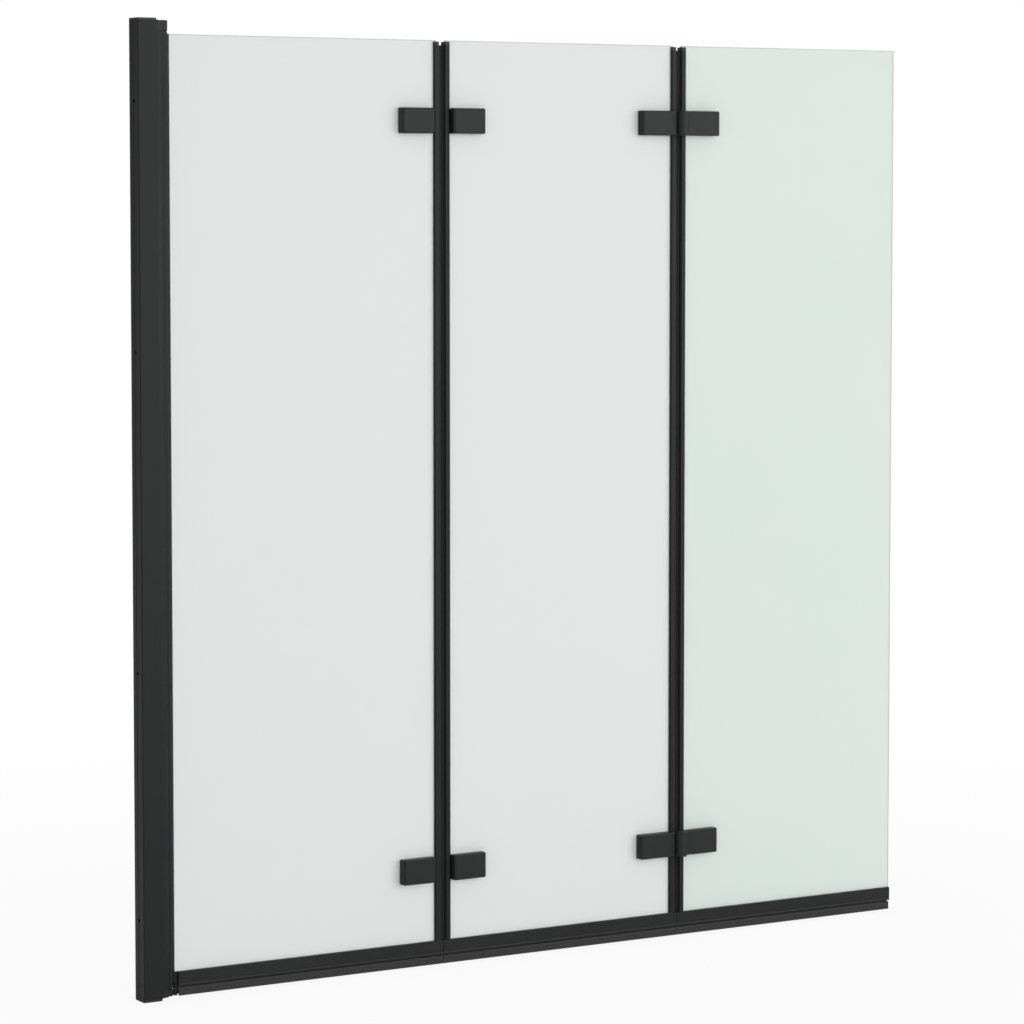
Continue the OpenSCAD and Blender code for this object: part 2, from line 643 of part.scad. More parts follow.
module leaf(fold, row, side) color(plate_black) at_hinge(fold, row) difference() {
    barrel_side(fold) to_side(side) difference() {
        union() {
            difference() {
                hinge_block(leaf_near, pad_y, plate_start(side) + plate_l, plate_y);
                translate([0, 0, -plate_h]) cube([plate_start(side), arm_y, 2 * plate_h]);
            }
            knuckle_zones(side) union() {
                translate([0, barrel_y]) circle(r = barrel_r);
                translate([0, arm_y + plate_bevel])
                    square([leaf_near + cut, plate_y - arm_y - 2 * plate_bevel]);
            }
        }
        translate([0, barrel_y, -plate_h]) cylinder(r = hinge_pin_r + run_fit, h = 2 * plate_h);
    }
    clamp_holes(side);
}
module hinge_a_top_leaf_1() leaf(0, 0, -1);
module hinge_a_low_leaf_1() leaf(0, 1, -1);
module hinge_a_top_leaf_2() leaf(0, 0, 1);
module hinge_a_low_leaf_2() leaf(0, 1, 1);
module hinge_b_top_leaf_2() leaf(1, 0, -1);
module hinge_b_low_leaf_2() leaf(1, 1, -1);
module hinge_b_top_leaf_3() leaf(1, 0, 1);
module hinge_b_low_leaf_3() leaf(1, 1, 1);

// The plain blocks on the other face of the glass
module covers(fold, side) color(plate_black) for (row = [0, 1]) at_hinge(fold, row) difference() {
    barrel_side(1 - fold) to_side(side)
        hinge_block(plate_start(side), pad_y, plate_start(side) + plate_l, plate_y);
    clamp_holes(side);
}
module hinge_a_covers_1() covers(0, -1);
module hinge_a_covers_2() covers(0, 1);
module hinge_b_covers_2() covers(1, -1);
module hinge_b_covers_3() covers(1, 1);

// The rubber pads of one hinge side; the front ones have the sleeves through the glass
module pads(fold, side) color(rubber_black) for (row = [0, 1]) at_hinge(fold, row) difference() {
    union() {
        for (y = [glass_t / 2, -pad_y]) to_side(side)
            translate([plate_start(side) + pad_inset, y, pad_inset - plate_h / 2])
                cube([plate_l - 2 * pad_inset, pad_t, plate_h - 2 * pad_inset]);
        for (x = clamp_x(side)) translate([x, 0, 0])
            rod_y(sleeve_r, -glass_t / 2 - pad_t / 2, glass_t / 2 - glass_fit);
    }
    for (x = clamp_x(side)) translate([x, 0, 0]) rod_y(clamp_r + screw_fit, -plate_y, plate_y);
}
module hinge_pads_1() pads(0, -1);
module hinge_pads_2() {
    pads(0, 1);
    pads(1, -1);
}
module hinge_pads_3() pads(1, 1);

module clamp_screws(fold, side) color(steel) for (row = [0, 1], x = clamp_x(side))
    at_hinge(fold, row) translate([x, 0, 0]) difference() {
        union() {
            rod_y(clamp_r, -clamp_tip, plate_y - clamp_sink - clamp_head_t);
            rod_y(clamp_head_r, plate_y - clamp_sink - clamp_head_t, plate_y - clamp_sink);
        }
        rotate([90, 0, 0]) translate([0, 0, -plate_y])
            cylinder(d = clamp_socket_w, h = clamp_sink + clamp_head_t * socket_share, $fn = 6);
    }
module clamp_screws_1() clamp_screws(0, -1);
module clamp_screws_2() {
    clamp_screws(0, 1);
    clamp_screws(1, -1);
}
module clamp_screws_3() clamp_screws(1, 1);

// Places its children on the barrel axis of a hinge
module at_barrel(fold, row)
    at_hinge(fold, row) translate([0, fold == 0 ? barrel_y : -barrel_y, 0]) children();

module hinge_pins(fold) color(steel) for (row = [0, 1])
    at_barrel(fold, row) cylinder(r = hinge_pin_r, h = plate_h - 2 * run_fit, center = true);
module hinge_a_pins() hinge_pins(0);
module hinge_b_pins() hinge_pins(1);

module hinge_washers(fold) color(plastic_black) for (row = [0, 1], m = [0, 1])
    at_barrel(fold, row) mirror([0, 0, m]) translate([0, 0, knuckle_h / 2 + run_fit])
        difference() {
            cylinder(r = barrel_r - pad_inset, h = washer_t);
            translate([0, 0, -cut]) cylinder(r = hinge_pin_r + run_fit, h = washer_t + 2 * cut);
        }
module hinge_a_washers() hinge_washers(0);
module hinge_b_washers() hinge_washers(1);

wall_channel();
channel_cap_top();
channel_cap_bottom();
adjusting_profile();
lock_screws();
pivot_block_top();
pivot_block_bottom();
block_screws();
pivot_pins();
pivot_spacers();
pivot_tube();
pivot_bush_top();
pivot_bush_bottom();
pivot_gasket();
glass_1();
edge_clamp_1();
edge_seal_1();
edge_cap_1();
bottom_rail_1();
rail_seal_1();
rail_boot();
hinge_a_top_leaf_1();
hinge_a_low_leaf_1();
hinge_a_covers_1();
hinge_pads_1();
clamp_screws_1();
hinge_a_pins();
hinge_a_washers();
glass_2();
edge_clamp_2_wall();
edge_seal_2_wall();
edge_clamp_2_free();
edge_seal_2_free();
edge_caps_2();
bottom_rail_2();
rail_seal_2();
hinge_a_top_leaf_2();
hinge_a_low_leaf_2();
hinge_a_covers_2();
hinge_b_top_leaf_2();
hinge_b_low_leaf_2();
hinge_b_covers_2();
hinge_pads_2();
clamp_screws_2();
hinge_b_pins();
hinge_b_washers();
glass_3();
edge_clamp_3();
edge_seal_3();
edge_cap_3();
bottom_rail_3();
rail_seal_3();
hinge_b_top_leaf_3();
hinge_b_low_leaf_3();
hinge_b_covers_3();
hinge_pads_3();
clamp_screws_3();
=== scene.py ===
# Folding bath screen: three frosted glass panels in black strips and rails, on a wall channel.
# Metres, in the part's own frame: +x away from the wall, -y the front, +z up, y = 0 the middle
# of the glass. Every modelled piece stands where its CAD node does and takes its reach from it.
import math

import bmesh
import bpy
from mathutils import Matrix, Vector


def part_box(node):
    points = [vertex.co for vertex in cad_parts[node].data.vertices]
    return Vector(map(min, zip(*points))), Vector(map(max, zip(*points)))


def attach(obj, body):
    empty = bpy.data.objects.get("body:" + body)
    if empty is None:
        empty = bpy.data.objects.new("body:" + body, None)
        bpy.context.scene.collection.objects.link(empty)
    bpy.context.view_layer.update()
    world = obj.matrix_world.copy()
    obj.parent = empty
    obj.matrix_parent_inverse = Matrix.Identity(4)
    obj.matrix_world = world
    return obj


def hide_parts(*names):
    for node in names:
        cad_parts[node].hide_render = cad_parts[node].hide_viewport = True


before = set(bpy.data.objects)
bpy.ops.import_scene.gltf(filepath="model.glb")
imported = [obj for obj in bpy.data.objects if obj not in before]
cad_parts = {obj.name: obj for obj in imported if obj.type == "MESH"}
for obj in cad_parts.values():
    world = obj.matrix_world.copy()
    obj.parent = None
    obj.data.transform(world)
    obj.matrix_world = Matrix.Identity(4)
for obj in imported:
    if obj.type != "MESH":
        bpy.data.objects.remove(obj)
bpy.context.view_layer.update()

X, Y, Z = 0, 1, 2
mm = 0.001

# Coordinates closer than these are the same place: in a modelled shape, and after a Boolean
FINE, MERGED = 1e-6, 1e-5
# How far a cutting shape reaches past what it cuts, and the play between two pieces that slide
PAST, FIT = 1 * mm, 0.2 * mm
# Edges that turn by more than these are rounded, and shaded as sharp. Faces that differ by less
# than the last are one face after a Boolean.
ROUND_FROM, SHARP_FROM, FLAT_BELOW = math.radians(25), math.radians(24), math.radians(0.5)
ROD_SIDES, RING_SIDES = 32, 48

# Softness of the edges of each kind of work
EXTRUDED_EDGE = 0.25 * mm
CHANNEL_EDGE = 0.18 * mm
FINE_EDGE = 0.1 * mm
CAP_EDGE = 0.22 * mm
MACHINED_EDGE = 0.3 * mm
RUBBER_EDGE = 0.2 * mm
GLASS_EDGE = 0.5 * mm

# Sizes that the nodes' boxes don't give.
# Wall channel and its caps
CHANNEL_WALL = 2.3 * mm
CHANNEL_BEVEL, MOUTH_BEVEL, CAP_CORNER = 1.2 * mm, 0.4 * mm, 0.8 * mm
GUIDE_HALF, GUIDE_DEEP = 3 * mm, 0.4 * mm
WALL_HOLE_R = 2.5 * mm
WALL_HOLE_Z = (0.115, 0.465, 0.915, 1.265)
LOCK_X, LOCK_HOLE_R = 0.0205, 2 * mm
LOCK_Z = (0.240, 0.690, 1.140)
CAP_BEVEL = 1 * mm
CAP_LEG, CAP_LEG_WALL = 9 * mm, 2 * mm

# Adjusting profile, with its curved sides and the seat of the tube, and the end blocks
SIDE_CURVE, SIDE_STEPS = 4.2 * mm, 16
LEG_WALL, LEG_ROOT_X = 1.8 * mm, 0.031
SEAT_R, SEAT_IN, SEAT_ROUND, SEAT_STEPS = 8 * mm, 2.3 * mm, 4 * mm, 8
BLOCK_X, BLOCK_BEVEL = 0.0288, 1 * mm
NOSE_R, NOSE_STEPS = 6.5 * mm, 24
PORT_X, PORT_Y, PORT_HEAD_R, PORT_HEAD_T = 0.035, 8.8 * mm, 3 * mm, 2.2 * mm

# Pivot tube
TUBE_R, TUBE_BORE_R, TUBE_RIM = 7.2 * mm, 2.97 * mm, 1 * mm
SLOT_HALF, SLOT_WALL = 3 * mm, 0.75 * mm

# Glass, with the width and the depth of the painted shade along its rims, and the heights between
# which its colour is painted lighter towards the bottom, as painted light
GLASS_HALF, GLASS_FIT, GLASS_SEAT = 2.5 * mm, 0.15 * mm, 6 * mm
FREE_RIM, TOP_RIM = 3 * mm, 2 * mm
FREE_RIM_PAINTED_SHADE, TOP_RIM_PAINTED_SHADE = 0.9, 0.5
PAINTED_LIGHT_HEIGHTS = 0.02, 1.36

# Strips at the folds, and their seals
STRIP_IN, STRIP_OUT, STRIP_WEB = 5.2 * mm, 13.2 * mm, 2.2 * mm
STRIP_BEVEL, STRIP_LIP = 1.6 * mm, 0.5 * mm
FOOT_DEEP, FOOT_HALF = 1.2 * mm, 1.4 * mm
FLANGE_T, FLANGE_HALF = 1 * mm, 5 * mm
BULB_R, BULB_WALL, BULB_OVER = 2.8 * mm, 0.8 * mm, 1.2 * mm
PAD_OVER, PAD_HALF = 1.25 * mm, 2 * mm

# Bottom rails, and the wipers under them
RAIL_HALF, RAIL_BEVEL = 7.6 * mm, 1 * mm
BEAD_H, BEAD_T, BEAD_SLOPE = 3.4 * mm, 0.6 * mm, 1.9 * mm
RAIL_LINE_TOP, RAIL_LINE_DEEP = 4.2 * mm, 0.6 * mm
NECK_HALF, HEAD_HALF, HEAD_LOW, HEAD_H = 2 * mm, 3.5 * mm, 1 * mm, 2.5 * mm
LIP_ROOT, LIP_EDGE, SEAL_WEB, SEAL_GAP = 2.5 * mm, 1.2 * mm, 4 * mm, 2 * mm
SHOULDER_IN = 4.4 * mm
GROOVES, GROOVE_HALF, GROOVE_DEEP = (3.5 * mm, 7.2 * mm), 0.55 * mm, 0.6 * mm

# Hinge blocks, barrels and clamp screws
PLATE_BEVEL, PLATE_ROUND, PLATE_STEPS = 1.2 * mm, 5 * mm, 6
PLATE_Y, PAD_Y, ARM_Y = 17 * mm, 3.5 * mm, 7.4 * mm
PLATE_START = {-1: 16 * mm, 1: 13.6 * mm}
PLATE_L, PLATE_HALF = 55 * mm, 18.5 * mm
LEAF_NEAR, ARM_ROOT = 10.1 * mm, 2 * mm
BARREL_R, PIN_R, KNUCKLE_HALF, KNUCKLE_GAP = 9.5 * mm, 3.05 * mm, 7.5 * mm, 0.7 * mm
CLAMP_IN, CLAMP_HEAD_R, CLAMP_SINK = 13 * mm, 4.6 * mm, 3.8 * mm
SLEEVE_R, SLEEVE_REACH = 4.65 * mm, 4 * mm


# ---- Mesh work ------------------------------------------------------------------


def drawn_out(outline, along, low, high):
    """A bar with a flat outline, given in the two axes across `along`, from low to high."""
    bm = bmesh.new()
    across = [axis for axis in (X, Y, Z) if axis != along]
    corners = []
    for point in outline:
        place = Vector()
        place[across[0]], place[across[1]], place[along] = *point, low
        corners.append(bm.verts.new(place))
    return thickened(bm, [bm.faces.new(corners)], along, high - low)


def thickened(bm, faces, along, length):
    """Draws flat faces out along an axis, into a closed bar."""
    drawn = bmesh.ops.extrude_face_region(bm, geom=faces, use_keep_orig=True)
    travel = Vector()
    travel[along] = length
    moved = [part for part in drawn["geom"] if isinstance(part, bmesh.types.BMVert)]
    bmesh.ops.translate(bm, verts=moved, vec=travel)
    bmesh.ops.recalc_face_normals(bm, faces=bm.faces)
    return bm


def block(low, high):
    """A plain closed box between two corners."""
    bm = bmesh.new()
    low, high = Vector(low), Vector(high)
    size = high - low
    bmesh.ops.create_cube(bm, size=1, matrix=Matrix.Translation((low + high) / 2)
                          @ Matrix.Diagonal((*size, 1)))
    return bm


def rod(radius, start, end):
    """A closed round bar between two points on a line along one axis."""
    bm = bmesh.new()
    start, end = Vector(start), Vector(end)
    turn = Vector((0, 0, 1)).rotation_difference(end - start).to_matrix().to_4x4()
    bmesh.ops.create_cone(bm, cap_ends=True, segments=ROD_SIDES, radius1=radius,
                          radius2=radius, depth=(end - start).length,
                          matrix=Matrix.Translation((start + end) / 2) @ turn)
    return bm


def ring(centre, inner, outer, low, high):
    """A closed tube along z between two radii."""
    bm = bmesh.new()
    ends = [bm.verts.new(Vector((*centre, low)) + Vector((radius, 0, 0)))
            for radius in (inner, outer)]
    bmesh.ops.spin(bm, geom=[bm.edges.new(ends), *ends], cent=(*centre, low), axis=(0, 0, 1),
                   angle=math.radians(360), steps=RING_SIDES, use_merge=True)
    return thickened(bm, list(bm.faces), Z, high - low)


def together(*shapes):
    """Several closed shapes in one mesh."""
    bm = shapes[0]
    for shape in shapes[1:]:
        scratch = bpy.data.meshes.new("scratch")
        shape.to_mesh(scratch)
        shape.free()
        bm.from_mesh(scratch)
        bpy.data.meshes.remove(scratch)
    return bm


def carved(bm, operation, *tools):
    """The closed shape bm after a Boolean with closed tools. Faces that should lie in one plane
    are brought into it first, to the micrometre."""
    scratch = []
    for shape in (bm, together(*tools)):
        for vert in shape.verts:
            vert.co = [round(value, 6) for value in vert.co]
        mesh = bpy.data.meshes.new("scratch")
        shape.to_mesh(mesh)
        shape.free()
        scratch.append(bpy.data.objects.new("scratch", mesh))
        bpy.context.scene.collection.objects.link(scratch[-1])
    body, tool = scratch
    boolean = body.modifiers.new("carve", "BOOLEAN")
    boolean.operation, boolean.solver, boolean.object = operation, "EXACT", tool
    result = bmesh.new()
    result.from_object(body, bpy.context.evaluated_depsgraph_get())
    for spent in scratch:
        mesh = spent.data
        bpy.data.objects.remove(spent)
        bpy.data.meshes.remove(mesh)
    bmesh.ops.remove_doubles(result, verts=result.verts, dist=MERGED)
    bmesh.ops.dissolve_degenerate(result, edges=result.edges, dist=MERGED)
    bmesh.ops.dissolve_limit(result, verts=result.verts, edges=result.edges,
                             angle_limit=FLAT_BELOW)
    return result


def bevelled(bm, edges, width, segments=1):
    """The shape after a bevel along some edges, or a rounding where there are more segments."""
    bmesh.ops.bevel(bm, geom=edges, offset=width, offset_type="OFFSET", segments=segments,
                    profile=0.5, affect="EDGES", clamp_overlap=True, material=-1)
    return bm


def softened(bm, width, segments=2):
    """The shape with every edge rounded where it turns enough."""
    sharp = [edge for edge in bm.edges
             if edge.is_manifold and edge.calc_face_angle() > ROUND_FROM]
    return bevelled(bm, sharp, width, segments)


def edges_at(bm, axis, place):
    """The edges that lie in the plane where that coordinate is `place`."""
    return [edge for edge in bm.edges
            if all(abs(vert.co[axis] - place) < FINE for vert in edge.verts)]


def mirrored(points):
    """A half outline from its end back to its start, on the other side of the first axis."""
    return [(along, -across) for along, across in reversed(points)]


def middle(node):
    """The middle of a CAD node's box."""
    low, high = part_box(node)
    return (low + high) / 2


def piece(name, bm, body, finishes, slot, *nodes):
    """Makes a finished mesh a piece that rides on a body and stands for its CAD nodes."""
    bmesh.ops.remove_doubles(bm, verts=bm.verts, dist=FINE)
    mesh = bpy.data.meshes.new(name)
    bm.to_mesh(mesh)
    bm.free()
    for finish in finishes:
        mesh.materials.append(finish)
    mesh.polygons.foreach_set("use_smooth", [True] * len(mesh.polygons))
    mesh.set_sharp_from_angle(angle=SHARP_FROM)
    made = bpy.data.objects.new(name, mesh)
    bpy.context.scene.collection.objects.link(made)
    weighted = made.modifiers.new("even shading", "WEIGHTED_NORMAL")
    weighted.keep_sharp = True
    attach(made, body)
    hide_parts(*nodes)
    return made


# ---- Finishes -------------------------------------------------------------------


class Shade:
    """A value or a vector out of a shader node. Sums on it add Math nodes."""

    def __init__(self, nodes, socket):
        self.nodes, self.socket = nodes, socket

    def maths(self, operation, *values):
        """A Math node on some values, as a new value."""
        return self.nodes.node("ShaderNodeMath", {"operation": operation},
                               dict(enumerate(values)))

    def __add__(self, other):
        return self.maths("ADD", self, other)

    def __mul__(self, other):
        return self.maths("MULTIPLY", self, other)

    def __sub__(self, other):
        return self.maths("SUBTRACT", self, other)

    __radd__ = __add__


class Nodes:
    """The shader nodes of a material or of the world."""

    def __init__(self, tree):
        self.tree = tree

    def node(self, kind, settings=None, sockets=None, output=0):
        """A new node: its settings first, then the values or links of its sockets."""
        node = self.tree.nodes.new(kind)
        for key, value in (settings or {}).items():
            setattr(node, key, value)
        for key, value in (sockets or {}).items():
            self.plug(node.inputs[key], value)
        return Shade(self, node.outputs[output])

    def plug(self, socket, value):
        """Gives a socket a plain value, or links it to another node's."""
        if isinstance(value, Shade):
            self.tree.links.new(value.socket, socket)
        else:
            socket.default_value = value

    def axis(self, place, name):
        """One coordinate of a place: X, Y or Z."""
        return self.node("ShaderNodeSeparateXYZ", {}, {"Vector": place}, output=name)

    def range(self, value, low, high, to_low, to_high):
        """A value brought from one range into another, and held inside it."""
        return self.node("ShaderNodeMapRange", {"clamp": True}, {
            "Value": value, "From Min": low, "From Max": high,
            "To Min": to_low, "To Max": to_high})


class Finish(Nodes):
    """A material and its one surface shader."""

    def __init__(self, name, **surface):
        self.material = bpy.data.materials.new(name)
        self.material.use_nodes = True
        super().__init__(self.material.node_tree)
        self.surface = self.tree.nodes["Principled BSDF"]
        self.place = self.node("ShaderNodeTexCoord", output="Object")
        self.set(**surface)

    def set(self, **surface):
        """Sets sockets of the surface shader; Base_Color stands for Base Color."""
        for key, value in surface.items():
            self.plug(self.surface.inputs[key.replace("_", " ")], value)

    def grain(self, scale, stretch=(1, 1, 1), detail=2.0):
        """Noise from 0 to 1, with `scale` spots to the metre, drawn out along an axis."""
        place = self.node("ShaderNodeMapping", {}, {"Vector": self.place, "Scale": stretch})
        return self.node("ShaderNodeTexNoise", {}, {
            "Vector": place, "Scale": scale, "Detail": detail})

    def blend(self, amount, low, high):
        """A colour between two, by an amount from 0 to 1."""
        return self.node("ShaderNodeMix", {"data_type": "RGBA"},
                         {"Factor": amount, "A": low, "B": high}, output="Result")

    def relief(self, height, depth, strength):
        """A bump with hollows and heights of `depth` metres."""
        return self.node("ShaderNodeBump", {}, {
            "Height": height, "Distance": depth, "Strength": strength})


def linear(red, green, blue):
    """A colour as a screen shows it, 0 to 255, in the renderer's light units."""
    def light(value):
        value /= 255
        return value / 12.92 if value <= 0.04045 else ((value + 0.055) / 1.055) ** 2.4
    return (light(red), light(green), light(blue), 1)


def extruded_black(name, along, low, high):
    """Satin black aluminium with faint lines along the bar, as an extrusion has."""
    finish = Finish(name, Specular_IOR_Level=0.185)
    stretch = [40, 40, 40]
    stretch[along] = 0.5
    lines = finish.grain(28, stretch, detail=3)
    cloud = finish.grain(7, detail=2)
    speck = finish.grain(2600, detail=1)
    tone = finish.range(lines * 0.6 + cloud * 0.4, 0.3, 0.7, 0, 1)
    finish.set(
        Base_Color=finish.blend(tone, linear(*low), linear(*high)),
        Roughness=finish.range(lines * 0.5 + cloud * 0.5, 0.3, 0.7, 0.36, 0.5),
        Normal=finish.relief(lines * 0.7 + speck * 0.3, 0.03 * mm, 0.5))
    return finish.material


def coated_black(name):
    """Powder-coated hinge metal: a fine even grain, a little paler than the profiles."""
    finish = Finish(name, Specular_IOR_Level=0.22)
    grain = finish.grain(1500, detail=2)
    cloud = finish.grain(18, detail=3)
    finish.set(
        Base_Color=finish.blend(cloud, linear(22, 25, 24), linear(29, 32, 31)),
        Roughness=finish.range(grain * 0.6 + cloud * 0.4, 0.3, 0.7, 0.4, 0.52),
        Normal=finish.relief(grain, 0.04 * mm, 0.45))
    return finish.material


def moulded_black(name):
    """Black plastic of the end caps, with a fine spark-eroded grain."""
    finish = Finish(name, Specular_IOR_Level=0.45)
    grain = finish.grain(1900, detail=1)
    cloud = finish.grain(40)
    finish.set(
        Base_Color=finish.blend(cloud, linear(24, 24, 25), linear(31, 31, 32)),
        Roughness=finish.range(grain, 0.3, 0.7, 0.5, 0.62),
        Normal=finish.relief(grain, 0.05 * mm, 0.4))
    return finish.material


def black_rubber(name, along, low, high):
    """Matt seal rubber with faint lines from its die, between two tones of grey."""
    finish = Finish(name, Specular_IOR_Level=0.35)
    stretch = [60, 60, 60]
    stretch[along] = 1
    lines = finish.grain(30, stretch, detail=2)
    dust = finish.grain(300, detail=3)
    finish.set(
        Base_Color=finish.blend(lines, linear(low, low, low), linear(high, high, high)),
        Roughness=finish.range(dust, 0.3, 0.7, 0.62, 0.8),
        Normal=finish.relief(lines, 0.05 * mm, 0.4))
    return finish.material


def plain_steel(name):
    """Stainless screws and pins, turned bright, with fine scratches."""
    finish = Finish(name, Metallic=1.0)
    scratches = finish.grain(900, (1, 1, 6), detail=3)
    cloud = finish.grain(60)
    finish.set(
        Base_Color=finish.blend(cloud, linear(150, 151, 152), linear(186, 187, 188)),
        Roughness=finish.range(scratches, 0.3, 0.7, 0.24, 0.42),
        Normal=finish.relief(scratches, 0.003 * mm, 0.4))
    return finish.material


def frosted_glass(name, painted_lighter_low_tint, high_tint):
    """Etched safety glass: milky, even and matt, with a very fine satin grain, and painted lighter
    towards the bottom as painted light. Along its bare rims a painted shade darkens it, where
    light leaves the glass."""
    finish = Finish(name, IOR=1.5, Transmission_Weight=0.12, Specular_IOR_Level=0.5)
    height = finish.axis(finish.place, "Z")
    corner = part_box("glass_3")[1]
    # Painted shade: the glass is darkened towards its free edge and its top edge
    rim = finish.node("ShaderNodeMath", {"operation": "MAXIMUM"}, {
        0: finish.range(finish.axis(finish.place, "X"), corner.x - FREE_RIM, corner.x,
                        0, FREE_RIM_PAINTED_SHADE),
        1: finish.range(height, corner.z - TOP_RIM, corner.z, 0, TOP_RIM_PAINTED_SHADE)})
    # Painted light: the tint is paler towards the bottom of the glass
    painted_light_climb = finish.range(height, *PAINTED_LIGHT_HEIGHTS, 0, 1)
    etch = finish.grain(3500, detail=2)
    cloud = finish.grain(2.2, detail=3)
    tint_and_painted_light = finish.blend(painted_light_climb, linear(*painted_lighter_low_tint), linear(*high_tint))
    milky = finish.blend(finish.range(cloud, 0.35, 0.65, 0, 0.25), tint_and_painted_light, linear(226, 231, 229))
    finish.set(
        Base_Color=finish.blend(rim, milky, linear(146, 158, 153)),
        Roughness=finish.range(etch * 0.6 + cloud * 0.4, 0.3, 0.7, 0.58, 0.7),
        Normal=finish.relief(etch, 0.02 * mm, 0.3))
    return finish.material


def glass_edge(name):
    """The ground and polished rim of the glass, where its green shows."""
    finish = Finish(name, IOR=1.5, Specular_IOR_Level=0.5)
    cloud = finish.grain(60, detail=2)
    finish.set(
        Base_Color=finish.blend(cloud, linear(168, 176, 174), linear(184, 192, 189)),
        Roughness=finish.range(cloud, 0.3, 0.7, 0.16, 0.3))
    return finish.material


# The level profiles are painted lighter than the upright ones, as painted light: both are the same
# black aluminium
UPRIGHT = extruded_black("satin black profile, upright", Z, (20, 21, 22), (26, 27, 28))
LEVEL_PAINTED_LIGHTER = extruded_black("satin black profile, level, painted lighter", X, (26, 28, 27), (32, 34, 33))
COATED = coated_black("coated hinge metal")
MOULDED = moulded_black("moulded black caps")
SEAL_UPRIGHT = black_rubber("seal rubber, upright", Z, 20, 28)
SEAL_LEVEL = black_rubber("seal rubber, level", X, 40, 50)
STEEL = plain_steel("plain stainless steel")
# Each glass is given a paler colour at its foot than at its top, as painted light
FROSTED = frosted_glass("frosted glass", (229, 233, 232), (222, 226, 225))
FROSTED_FREE = frosted_glass("frosted glass, free panel", (221, 231, 226), (215, 225, 220))
RIM = glass_edge("polished glass rim")


# ---- Wall channel and adjusting profile -----------------------------------------


def channel_outline(low, high, fine):
    """The channel's outside, with the larger bevels at the wall."""
    x1, x2, y1, y2 = low[X], high[X], low[Y], high[Y]
    wide = CHANNEL_BEVEL
    return [(x1 + wide, y1), (x2 - fine, y1), (x2, y1 + fine), (x2, y2 - fine),
            (x2 - fine, y2), (x1 + wide, y2), (x1, y2 - wide), (x1, y1 + wide)]


def ends_of(low, high, outward):
    """The heights of the outer face and of the back of a piece at an end of the channel."""
    return (high.z, low.z) if outward > 0 else (low.z, high.z)


def outer_rim(shape, face, wall_x):
    """The edges round an outer face, apart from the one next to the wall or the channel."""
    return [edge for edge in edges_at(shape, Z, face)
            if not all(vert.co.x < wall_x + FINE for vert in edge.verts)]


def model_wall_channel():
    """The channel, open to +x, with its drilling groove and screw holes."""
    low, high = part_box("wall_channel")
    bar = drawn_out(channel_outline(low, high, MOUTH_BEVEL), Z, low.z, high.z)
    room = block((low.x + CHANNEL_WALL, low.y + CHANNEL_WALL, low.z - PAST),
                 (high.x + PAST, high.y - CHANNEL_WALL, high.z + PAST))
    guide = block((low.x - PAST, -GUIDE_HALF, low.z - PAST),
                  (low.x + GUIDE_DEEP, GUIDE_HALF, high.z + PAST))
    bar = carved(bar, "DIFFERENCE", room, guide)
    holes = [rod(WALL_HOLE_R, (low.x - PAST, 0, z), (low.x + 2 * CHANNEL_WALL, 0, z))
             for z in WALL_HOLE_Z]
    holes += [rod(LOCK_HOLE_R, (LOCK_X, high.y - 2 * CHANNEL_WALL, z), (LOCK_X, high.y + PAST, z))
              for z in LOCK_Z]
    bar = softened(carved(bar, "DIFFERENCE", *holes), CHANNEL_EDGE)
    piece("channel", bar, "wall_frame", [UPRIGHT], "black_aluminium", "wall_channel")


def model_channel_cap(node, outward):
    """A cap with bevelled edges on its outer face; outward is 1 at the top, -1 below."""
    low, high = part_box(node)
    face, back = ends_of(low, high, outward)
    seat = back + outward * CAP_LEG
    channel_low, channel_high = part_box("wall_channel")
    cap = drawn_out(channel_outline(channel_low, channel_high, CAP_CORNER), Z,
                    min(seat, face), max(seat, face))
    softened(bevelled(cap, outer_rim(cap, face, low.x), CAP_BEVEL), FINE_EDGE)
    inner_low, inner_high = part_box("adjusting_profile")
    legs = block((channel_low.x + CHANNEL_WALL + FIT, inner_low.y, min(seat, back)),
                 (inner_low.x - FIT, inner_high.y, max(seat, back)))
    hollow = block((channel_low.x + CHANNEL_WALL + CAP_LEG_WALL, inner_low.y + CAP_LEG_WALL,
                    min(seat, back) - PAST),
                   (inner_low.x + PAST, inner_high.y - CAP_LEG_WALL, max(seat, back) + PAST))
    legs = softened(carved(legs, "DIFFERENCE", hollow), FINE_EDGE)
    piece(node.replace("channel_cap", "cap"), carved(cap, "UNION", legs), "wall_frame", [MOULDED],
          "black_plastic", node)


def adjuster_side():
    """The curved side of the adjusting profile, at +y, from the channel to its lip."""
    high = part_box("adjusting_profile")[1]
    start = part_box("wall_channel")[1].x
    reach = high.x - start
    radius = (reach ** 2 + SIDE_CURVE ** 2) / (2 * SIDE_CURVE)
    turns = [math.asin(reach / radius) * step / SIDE_STEPS for step in range(SIDE_STEPS + 1)]
    return [(start + radius * math.sin(turn), high.y - radius * (1 - math.cos(turn)))
            for turn in turns]


def model_adjusting_profile():
    """The profile in the channel, with a round seat for the pivot tube between its lips."""
    low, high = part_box("adjusting_profile")
    pivot = middle("pivot_tube").x
    lip_y = math.sqrt(SEAT_R ** 2 - (pivot - high.x) ** 2)
    seat_x, seat_y = pivot - SEAT_R, lip_y - SEAT_IN
    root_y = high.y - LEG_WALL
    side = adjuster_side()
    outline = [
        (low.x, low.y), *((x, -y) for x, y in side), (high.x, -lip_y), (seat_x, -seat_y),
        (seat_x, seat_y), (high.x, lip_y), *reversed(side), (low.x, high.y), (low.x, root_y),
        (LEG_ROOT_X, root_y), (LEG_ROOT_X, -root_y), (low.x, -root_y)]
    bar = drawn_out(outline, Z, low.z, high.z)
    seat = [edge for edge in edges_at(bar, X, seat_x)
            if abs(edge.verts[0].co.z - edge.verts[1].co.z) > FINE]
    softened(bevelled(bar, seat, SEAT_ROUND, SEAT_STEPS), EXTRUDED_EDGE)
    piece("adjuster", bar, "wall_frame", [UPRIGHT], "black_aluminium", "adjusting_profile")


